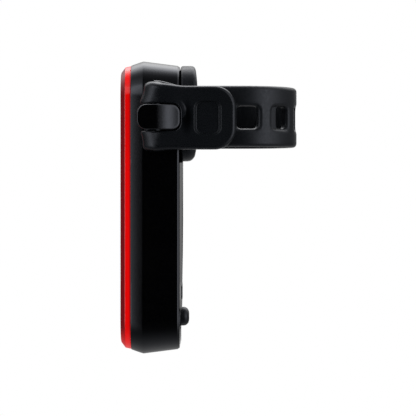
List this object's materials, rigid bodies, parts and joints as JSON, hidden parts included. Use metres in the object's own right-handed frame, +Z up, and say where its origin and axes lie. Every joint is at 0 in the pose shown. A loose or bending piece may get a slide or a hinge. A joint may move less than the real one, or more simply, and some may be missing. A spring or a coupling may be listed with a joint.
{
  "type": "bike rear light",
  "caption": "Slim upright bike rear light with a red lens in a ridged black housing, a cradle pad and a rubber ladder strap hooked round a seat post.",
  "frame": {"origin": "on the axis of the seat post that the strap closes round, at mid-height of the strap", "axes": "+Z up along the post, -X the way the lens faces, -Y the side on which the strap folds back over its hook"},
  "size_m": [0.0576, 0.048, 0.0956],
  "materials": {
    "lens_red": "clear red plastic, polished",
    "housing_black": "satin black plastic",
    "hook_black": "smooth glossy black plastic",
    "strap_rubber": "soft matte black rubber",
    "reflector_red": "bright red plastic",
    "board_green": "solder-masked circuit board",
    "lamp_cream": "moulded lamp package",
    "cell_foil": "laminated foil pouch",
    "tape_white": "foam tape",
    "wire_red": "silicone wire sleeve",
    "plunger_red": "moulded plastic",
    "steel": "plain steel"
  },
  "bodies": {
    "light": {"lens": "lens_red", "front_housing": "housing_black", "back_cover": "housing_black", "cover_seal": "strap_rubber", "cover_screws": "steel", "reflector": "reflector_red", "led_board": "board_green", "leds": "lamp_cream", "battery": "cell_foil", "battery_tape": "tape_white", "battery_leads": "wire_red", "control_board": "board_green", "control_screws": "steel", "board_link": "hook_black", "usb_socket": "steel", "tact_switch": "hook_black", "hook_bracket": "hook_black", "bracket_screws": "steel", "post_pad": "strap_rubber", "strap_band": "strap_rubber"},
    "push_button": {"button": "strap_rubber", "switch_plunger": "plunger_red"},
    "plug_flap": {"port_plug": "strap_rubber"},
    "tail": {"strap_tail": "strap_rubber"}
  },
  "joints": [
    {"name": "button_press", "type": "slide", "parent": "light", "child": "push_button", "axis": [-1, 0, 0], "range_m": [0, 0.0006], "stiffness_N_per_m": 500},
    {"name": "plug_swing", "type": "hinge", "parent": "light", "child": "plug_flap", "pos_m": [-0.01928, 0.00573, -0.0565], "axis": [0, 0, 1], "range_deg": [0, 100]},
    {"name": "tail_fold", "type": "hinge", "parent": "light", "child": "tail", "pos_m": [-0.028, -0.0185, 0], "axis": [0, 0, -1], "range_deg": [0, 150]}
  ]
}
